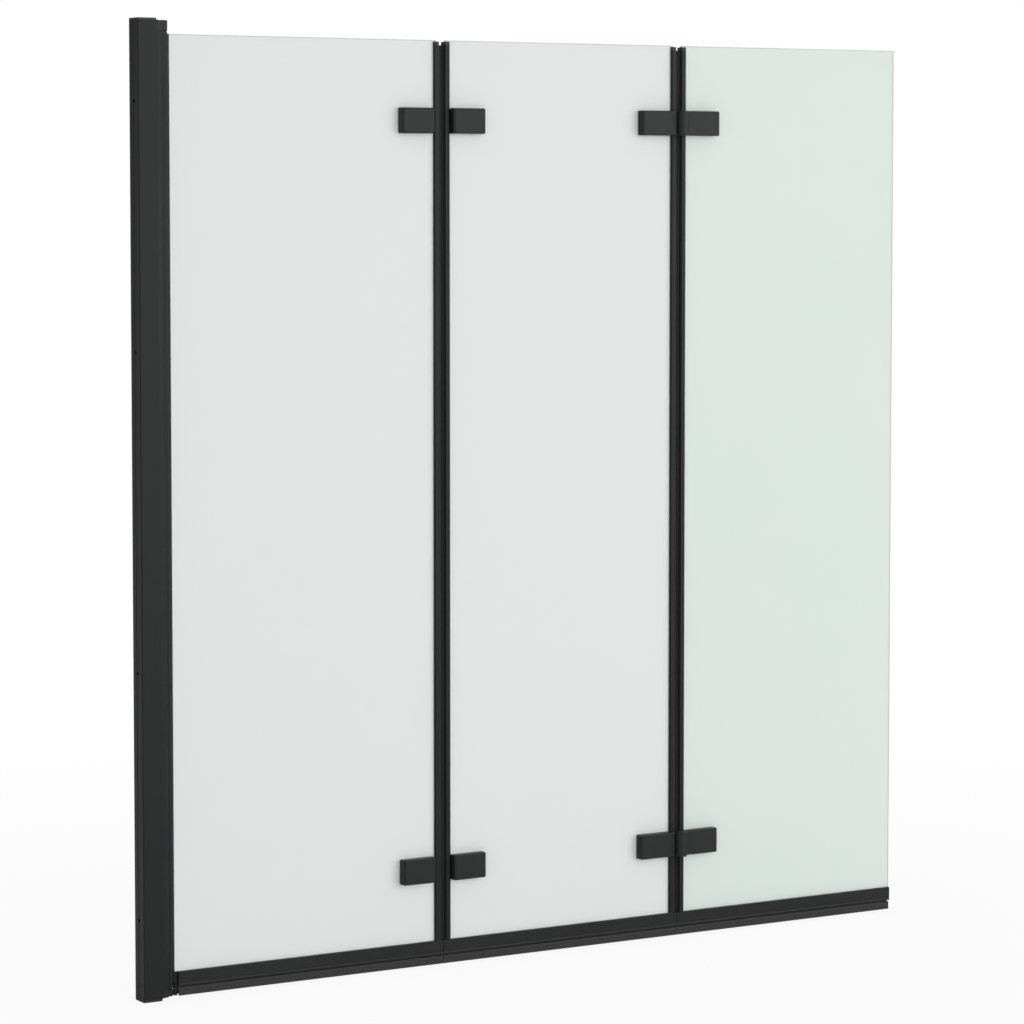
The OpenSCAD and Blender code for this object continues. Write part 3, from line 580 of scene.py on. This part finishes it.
def model_pivot_block(node, outward):
    """An end block with a round nose over the pivot, and two screws in its face."""
    low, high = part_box(node)
    face = ends_of(low, high, outward)[0]
    pivot = middle("pivot_tube").x
    lip_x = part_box("adjusting_profile")[1].x
    turns = [math.pi * (step / NOSE_STEPS - 0.5) for step in range(NOSE_STEPS + 1)]
    outline = [(pivot + NOSE_R * math.cos(turn), NOSE_R * math.sin(turn)) for turn in turns]
    side = adjuster_side()[1:]
    outline += [(lip_x, NOSE_R), *reversed(side), (BLOCK_X, high.y), (BLOCK_X, low.y),
                *((x, -y) for x, y in side), (lip_x, -NOSE_R)]
    shape = drawn_out(outline, Z, low.z, high.z)
    softened(bevelled(shape, outer_rim(shape, face, BLOCK_X), BLOCK_BEVEL), MACHINED_EDGE)
    sinks = [rod(PORT_HEAD_R, (PORT_X, y, face - outward * PORT_HEAD_T),
                 (PORT_X, y, face + outward * PAST)) for y in (-PORT_Y, PORT_Y)]
    shape = carved(shape, "DIFFERENCE", *sinks)
    piece(node.replace("pivot_block", "block"), shape, "wall_frame", [COATED],
          "black_hinge_metal", node)


# ---- Panels ---------------------------------------------------------------------


FOLD_X = {"a": middle("hinge_a_pins").x, "b": middle("hinge_b_pins").x}
BARREL_Y = {"a": middle("hinge_a_pins").y, "b": middle("hinge_b_pins").y}
HINGE_Z = {"top": middle("hinge_a_top_leaf_1").z, "low": middle("hinge_a_low_leaf_1").z}


def clamp_places(fold, side):
    """Where the clamp screws of one side of a fold go through the glass."""
    return [FOLD_X[fold] + side * (PLATE_START[side] + along)
            for along in (CLAMP_IN, PLATE_L - CLAMP_IN)]


def model_pivot_tube():
    """The tube that the first pane sits in, with its bore, its slot and a chamfered top."""
    low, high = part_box("pivot_tube")
    pivot = middle("pivot_tube").x
    tube = ring((pivot, 0), TUBE_BORE_R, TUBE_R, low.z, high.z)
    slot = block((pivot + TUBE_BORE_R + SLOT_WALL, -SLOT_HALF, low.z - PAST),
                 (high.x + PAST, SLOT_HALF, high.z + PAST))
    tube = carved(tube, "DIFFERENCE", slot)
    rim = [edge for edge in edges_at(tube, Z, high.z)
           if all(math.hypot(vert.co.x - pivot, vert.co.y) > TUBE_R - EXTRUDED_EDGE
                  for vert in edge.verts)]
    softened(bevelled(tube, rim, TUBE_RIM), EXTRUDED_EDGE)
    piece("tube", tube, "panel_1", [UPRIGHT], "black_aluminium", "pivot_tube")


def model_glass(node, body, tint_and_painted_light, sides):
    """A pane with a ground rim and the holes of its hinges; sides lists (fold, side)."""
    pane = block(*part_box(node))
    softened(pane, GLASS_EDGE, segments=1)
    holes = [rod(SLEEVE_R, (x, -SLEEVE_REACH, z), (x, SLEEVE_REACH, z))
             for fold, side in sides for x in clamp_places(fold, side) for z in HINGE_Z.values()]
    pane = carved(pane, "DIFFERENCE", *holes)
    for face in pane.faces:
        face.material_index = 0 if abs(face.normal.y) > 0.9 else 1
    piece(node.replace("glass", "pane"), pane, body, [tint_and_painted_light, RIM], "frosted_glass", node)


def strip_outline(fold_x, side, reach, slots=True):
    """The clamp strip's outline in x and y, with its groove for the glass and, with slots, the
    one for its seal's foot."""
    root, gap = STRIP_IN + STRIP_WEB, GLASS_HALF + GLASS_FIT
    front = [(STRIP_IN + STRIP_LIP, reach), (STRIP_OUT - STRIP_BEVEL, reach),
             (STRIP_OUT, reach - STRIP_BEVEL), (STRIP_OUT, gap), (root, gap)]
    slot = FOOT_HALF + GLASS_FIT
    inner = [(STRIP_IN + FOOT_DEEP, slot), (STRIP_IN, slot)] if slots else []
    inner.append((STRIP_IN, reach - STRIP_LIP))
    return [(fold_x + side * x, y) for x, y in front + mirrored(front) + mirrored(inner) + inner]


def model_strip(node, body, fold, side):
    """The black strip along one side of a fold."""
    low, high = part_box(node)
    bar = drawn_out(strip_outline(FOLD_X[fold], side, high.y), Z, low.z, high.z)
    softened(bar, EXTRUDED_EDGE)
    piece(node.replace("edge_clamp", "strip"), bar, body, [UPRIGHT], "black_aluminium", node)


def model_strip_caps(node, body, places):
    """The caps of one panel's strips; places lists (fold, side)."""
    low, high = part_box(node)
    caps = [softened(drawn_out(strip_outline(FOLD_X[fold], side, high.y, slots=False),
                               Z, low.z, high.z), CAP_EDGE, 3)
            for fold, side in places]
    piece(node.replace("edge_cap", "strip_cap"), together(*caps), body, [MOULDED],
          "black_plastic", node)


def model_strip_seal(node, body, fold, side):
    """A rubber seal in the fold: a hollow bulb on the wall side, a pad on the free side."""
    low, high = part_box(node)
    x0 = FOLD_X[fold]
    inner = STRIP_IN - FLANGE_T
    tongue = STRIP_IN / 2 if side < 0 else PAD_OVER
    outline = [
        (STRIP_IN + FOOT_DEEP - 2 * GLASS_FIT, FOOT_HALF), (STRIP_IN, FOOT_HALF),
        (STRIP_IN, FLANGE_HALF), (inner, FLANGE_HALF), (inner, PAD_HALF), (tongue, PAD_HALF)]
    outline += mirrored(outline)
    bar = drawn_out([(x0 + side * x, y) for x, y in outline], Z, low.z, high.z)
    if side < 0:
        bulb_x = x0 - BULB_R + BULB_OVER
        bar = carved(bar, "UNION", rod(BULB_R, (bulb_x, 0, low.z), (bulb_x, 0, high.z)))
        bar = carved(bar, "DIFFERENCE", rod(BULB_R - BULB_WALL, (bulb_x, 0, low.z - PAST),
                                            (bulb_x, 0, high.z + PAST)))
    piece(node.replace("edge_seal", "fold_seal"), softened(bar, RUBBER_EDGE), body,
          [SEAL_UPRIGHT], "black_rubber", node)


def model_rail(node, body):
    """A rail with a bead along its foot, a groove for the glass and a groove for its seal."""
    low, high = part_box(node)
    half, bead, gap = RAIL_HALF, RAIL_HALF + BEAD_T, GLASS_HALF + GLASS_FIT
    right = [
        (gap, low.z + GLASS_SEAT), (gap, high.z), (half - RAIL_BEVEL, high.z),
        (half, high.z - RAIL_BEVEL), (half, low.z + RAIL_LINE_TOP),
        (half - RAIL_LINE_DEEP, low.z + RAIL_LINE_TOP), (half - RAIL_LINE_DEEP, low.z + BEAD_H),
        (half, low.z + BEAD_H), (bead, low.z + BEAD_SLOPE),
        (bead, low.z + BEAD_T), (bead - BEAD_T, low.z), (NECK_HALF, low.z),
        (NECK_HALF, low.z + HEAD_LOW), (HEAD_HALF, low.z + HEAD_LOW),
        (HEAD_HALF, low.z + HEAD_LOW + HEAD_H)]
    outline = right + [(-y, z) for y, z in reversed(right)]
    bar = softened(drawn_out(outline, X, low.x, high.x), EXTRUDED_EDGE)
    piece(node.replace("bottom_rail", "rail"), bar, body, [LEVEL_PAINTED_LIGHTER], "black_aluminium", node)


def model_rail_seal(node, body, rail):
    """The wiper under a rail: a web with two tapered lips, hung by a head in the rail."""
    low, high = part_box(node)
    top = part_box(rail)[0].z - SEAL_GAP
    half = RAIL_HALF
    grooves = []
    for rise in GROOVES:
        z = low.z + rise
        grooves += [(half, z - GROOVE_HALF), (half - GROOVE_DEEP, z - GROOVE_HALF / 2),
                    (half - GROOVE_DEEP, z + GROOVE_HALF / 2), (half, z + GROOVE_HALF)]
    foot, hook = top + SEAL_GAP - FIT, top + SEAL_GAP + HEAD_LOW + FIT
    right = [(0, top - SEAL_WEB), (half - LIP_ROOT, top - SEAL_WEB), (half - LIP_EDGE, low.z),
             (half, low.z), *grooves, (half, top - RAIL_BEVEL), (half - RAIL_BEVEL, top),
             (half - SHOULDER_IN, top), (half - SHOULDER_IN, foot), (NECK_HALF - GLASS_FIT, foot),
             (NECK_HALF - GLASS_FIT, hook), (HEAD_HALF - FIT, hook), (HEAD_HALF - FIT, high.z)]
    outline = right + [(-y, z) for y, z in reversed(right[1:])]
    bar = softened(drawn_out(outline, X, low.x, high.x), RUBBER_EDGE)
    piece(node.replace("rail_seal", "wiper"), bar, body, [SEAL_LEVEL], "black_rubber", node)


# ---- Hinges ---------------------------------------------------------------------


def clamp_sinks(fold, side, middle_z):
    """The sinks of the clamp screws' heads in the back of a hinge block."""
    return [rod(CLAMP_HEAD_R, (x, PLATE_Y - CLAMP_SINK, middle_z), (x, PLATE_Y + PAST, middle_z))
            for x in clamp_places(fold, side)]


def plate_shape(x1, x2, back, face, middle_z, outline=None):
    """A hinge block with its bevelled face at y = face and its rounded outer end at x2. Without
    an outline it is a plain block, rounded at x1 as well."""
    low_z, high_z = middle_z - PLATE_HALF, middle_z + PLATE_HALF
    ends = [x2]
    if outline:
        shape = drawn_out(outline, Z, low_z, high_z)
    else:
        shape = block((min(x1, x2), min(back, face), low_z),
                      (max(x1, x2), max(back, face), high_z))
        ends.append(x1)
    corners = [edge for edge in edges_at(shape, Y, face)
               if any(edge in edges_at(shape, X, end) for end in ends)]
    bevelled(shape, corners, PLATE_ROUND, PLATE_STEPS)
    outer = [edge for end in ends for edge in edges_at(shape, X, end)]
    rim = [edge for edge in edges_at(shape, Z, low_z) + edges_at(shape, Z, high_z)
           if edge in outer
           or all(abs(vert.co.y - face) < PLATE_ROUND + FINE for vert in edge.verts)]
    return bevelled(shape, rim, PLATE_BEVEL)


def model_leaf(node, body, fold, row, side):
    """A hinge leaf: a clamped block with its knuckles round the pin."""
    x0, z0 = FOLD_X[fold], HINGE_Z[row]
    turn = 1 if BARREL_Y[fold] > 0 else -1
    near, start, end = (x0 + side * reach for reach in
                        (LEAF_NEAR, PLATE_START[side], PLATE_START[side] + PLATE_L))
    outline = [(near, turn * ARM_Y), (start, turn * ARM_Y), (start, turn * PAD_Y),
               (end, turn * PAD_Y), (end, turn * PLATE_Y), (near, turn * PLATE_Y)]
    leaf = plate_shape(near, end, turn * PAD_Y, turn * PLATE_Y, z0, outline)
    low, high = z0 - PLATE_HALF, z0 + PLATE_HALF
    if side > 0:
        zones = [(z0 - KNUCKLE_HALF, z0 + KNUCKLE_HALF)]
    else:
        zones = [(low, z0 - KNUCKLE_HALF - KNUCKLE_GAP), (z0 + KNUCKLE_HALF + KNUCKLE_GAP, high)]
    knuckles = []
    for z1, z2 in zones:
        arm_y = sorted((turn * (ARM_Y + PLATE_BEVEL), turn * (PLATE_Y - PLATE_BEVEL)))
        arm_x = sorted((x0 + side * (PIN_R + ARM_ROOT), near + side * PAST))
        knuckles += [ring((x0, BARREL_Y[fold]), PIN_R, BARREL_R, z1, z2),
                     block((arm_x[0], arm_y[0], z1), (arm_x[1], arm_y[1], z2))]
    for shape in knuckles:
        leaf = carved(leaf, "UNION", shape)
    if turn > 0:
        leaf = carved(leaf, "DIFFERENCE", *clamp_sinks(fold, side, z0))
    piece(node.replace("hinge_", ""), softened(leaf, MACHINED_EDGE), body, [COATED],
          "black_hinge_metal", node)


def model_covers(node, body, fold, side):
    """The two plain blocks on the other face of the glass from a fold's barrels."""
    turn = -1 if BARREL_Y[fold] > 0 else 1
    start, end = (FOLD_X[fold] + side * reach for reach in
                  (PLATE_START[side], PLATE_START[side] + PLATE_L))
    shapes = []
    for z0 in HINGE_Z.values():
        shape = plate_shape(start, end, turn * PAD_Y, turn * PLATE_Y, z0)
        if turn > 0:
            shape = carved(shape, "DIFFERENCE", *clamp_sinks(fold, side, z0))
        shapes.append(softened(shape, MACHINED_EDGE))
    piece(node.replace("hinge_", ""), together(*shapes), body, [COATED], "black_hinge_metal", node)


model_wall_channel()
model_channel_cap("channel_cap_top", 1)
model_channel_cap("channel_cap_bottom", -1)
model_adjusting_profile()
model_pivot_block("pivot_block_top", 1)
model_pivot_block("pivot_block_bottom", -1)
model_pivot_tube()

model_glass("glass_1", "panel_1", FROSTED, [("a", -1)])
model_glass("glass_2", "panel_2", FROSTED, [("a", 1), ("b", -1)])
model_glass("glass_3", "panel_3", FROSTED_FREE, [("b", 1)])

for node, body, fold, side in (
        ("1", "panel_1", "a", -1), ("2_wall", "panel_2", "a", 1),
        ("2_free", "panel_2", "b", -1), ("3", "panel_3", "b", 1)):
    model_strip("edge_clamp_" + node, body, fold, side)
    model_strip_seal("edge_seal_" + node, body, fold, side)
model_strip_caps("edge_cap_1", "panel_1", [("a", -1)])
model_strip_caps("edge_caps_2", "panel_2", [("a", 1), ("b", -1)])
model_strip_caps("edge_cap_3", "panel_3", [("b", 1)])

for number in "123":
    model_rail("bottom_rail_" + number, "panel_" + number)
    model_rail_seal("rail_seal_" + number, "panel_" + number, "bottom_rail_" + number)

for fold, side, number in (("a", -1, "1"), ("a", 1, "2"), ("b", -1, "2"), ("b", 1, "3")):
    body = "panel_" + number
    for row in ("top", "low"):
        model_leaf(f"hinge_{fold}_{row}_leaf_{number}", body, fold, row, side)
    model_covers(f"hinge_{fold}_covers_{number}", body, fold, side)

# The nodes that keep their CAD shape
for finish, names in (
        (STEEL, ("lock_screws", "block_screws", "pivot_pins", "clamp_screws_1", "clamp_screws_2",
                 "clamp_screws_3", "hinge_a_pins", "hinge_b_pins")),
        (MOULDED, ("pivot_spacers", "pivot_bush_top", "pivot_bush_bottom", "hinge_a_washers",
                   "hinge_b_washers")),
        (SEAL_UPRIGHT, ("pivot_gasket", "rail_boot", "hinge_pads_1", "hinge_pads_2",
                        "hinge_pads_3"))):
    for name in names:
        for material_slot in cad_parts[name].material_slots:
            material_slot.material = finish


# ---- Floor, light and camera ----------------------------------------------------


# Strength of the room as soft light, and in the gloss: of the part behind the screen, and what
# the part overhead adds
AMBIENT, BEHIND, OVERHEAD = 0.6, 0.3, 0.5

# Each lamp: its place, its width and its power in watts. All point at the screen's middle.
SCREEN_MIDDLE = (0.65, 0, 0.7)
LAMPS = {
    "front softbox": ((0.8, -7.5, 1.3), 4.5, 205),
    "left softbox": ((-6.0, -3.4, 1.6), 2.0, 22),
    "right softbox": ((5.9, -5.3, 0.9), 4.5, 190),
    "back softbox": ((3.4, 7.3, 2.0), 4.5, 200)}

# The floor's reach, and how it turns to plain white between two distances from the screen's foot
FLOOR_SIZE, FLOOR_FADE, FLOOR_WHITE = 30, (0.7, 2.2), (0.9, 1)

# The photograph's camera, from its perspective: lens and sensor in millimetres, angles in degrees
LENS, SENSOR, LENS_SHIFT, VIEW_END = 128.279, 36, -0.08, 100
CAMERA_PLACE = (-2.119859, -4.646975, 1.14232)
CAMERA_DOWN, CAMERA_TURN = 3.772, -30.418


def studio():
    """The white floor and room, the lamps and the camera."""
    scene = bpy.context.scene
    scene.view_settings.view_transform = "Standard"

    floor_mesh = bmesh.new()
    bmesh.ops.create_grid(floor_mesh, x_segments=1, y_segments=1, size=FLOOR_SIZE)
    mesh = bpy.data.meshes.new("floor")
    floor_mesh.to_mesh(mesh)
    floor_mesh.free()
    floor = bpy.data.objects.new("floor", mesh)
    scene.collection.objects.link(floor)
    pale = Finish("pale floor", Base_Color=(0.8, 0.8, 0.8, 1), Roughness=0.9,
                  Specular_IOR_Level=0.1)
    ray = pale.node("ShaderNodeLightPath", output="Is Camera Ray")
    away = pale.node("ShaderNodeVectorMath", {"operation": "DISTANCE"},
                     {0: pale.place, 1: (SCREEN_MIDDLE[X], 0, 0)}, output="Value")
    glow = pale.node("ShaderNodeEmission", {}, {"Color": (1, 1, 1, 1), "Strength": 1.0})
    mixed = pale.node("ShaderNodeMixShader", {}, {
        0: ray * pale.range(away, *FLOOR_FADE, *FLOOR_WHITE),
        1: Shade(pale, pale.surface.outputs[0]), 2: glow})
    pale.plug(pale.tree.nodes["Material Output"].inputs["Surface"], mixed)
    mesh.materials.append(pale.material)

    world = bpy.data.worlds.new("studio")
    world.use_nodes = True
    scene.world = world
    room = Nodes(world.node_tree)
    heading = room.node("ShaderNodeTexCoord", output="Generated")
    white = (room.node("ShaderNodeLightPath", output="Is Camera Ray")
             + room.node("ShaderNodeLightPath", output="Is Transmission Ray"))
    gloss = room.node("ShaderNodeLightPath", output="Is Glossy Ray")
    shown = (room.range(room.axis(heading, "Y"), 0.1, 0.7, 1.0, BEHIND)
             + room.range(room.axis(heading, "Z"), 0.25, 0.7, 0, OVERHEAD))
    background = room.tree.nodes["Background"]
    room.plug(background.inputs["Color"], (1, 1, 1, 1))
    room.plug(background.inputs["Strength"],
              AMBIENT + white * (1 - AMBIENT) + gloss * (shown - AMBIENT))

    for name, (place, width, power) in LAMPS.items():
        lamp = bpy.data.lights.new(name, "AREA")
        lamp.shape, lamp.size, lamp.energy = "SQUARE", width, power
        lamp_object = bpy.data.objects.new(name, lamp)
        lamp_object.location = place
        aim = Vector(SCREEN_MIDDLE) - lamp_object.location
        lamp_object.rotation_euler = aim.to_track_quat("-Z", "Y").to_euler()
        scene.collection.objects.link(lamp_object)

    camera = bpy.data.cameras.new("camera")
    camera.lens, camera.sensor_width, camera.shift_y = LENS, SENSOR, LENS_SHIFT
    camera.clip_end = VIEW_END
    camera_object = bpy.data.objects.new("camera", camera)
    camera_object.location = CAMERA_PLACE
    camera_object.rotation_euler = (math.radians(90 - CAMERA_DOWN), 0, math.radians(CAMERA_TURN))
    scene.collection.objects.link(camera_object)
    scene.camera = camera_object


studio()
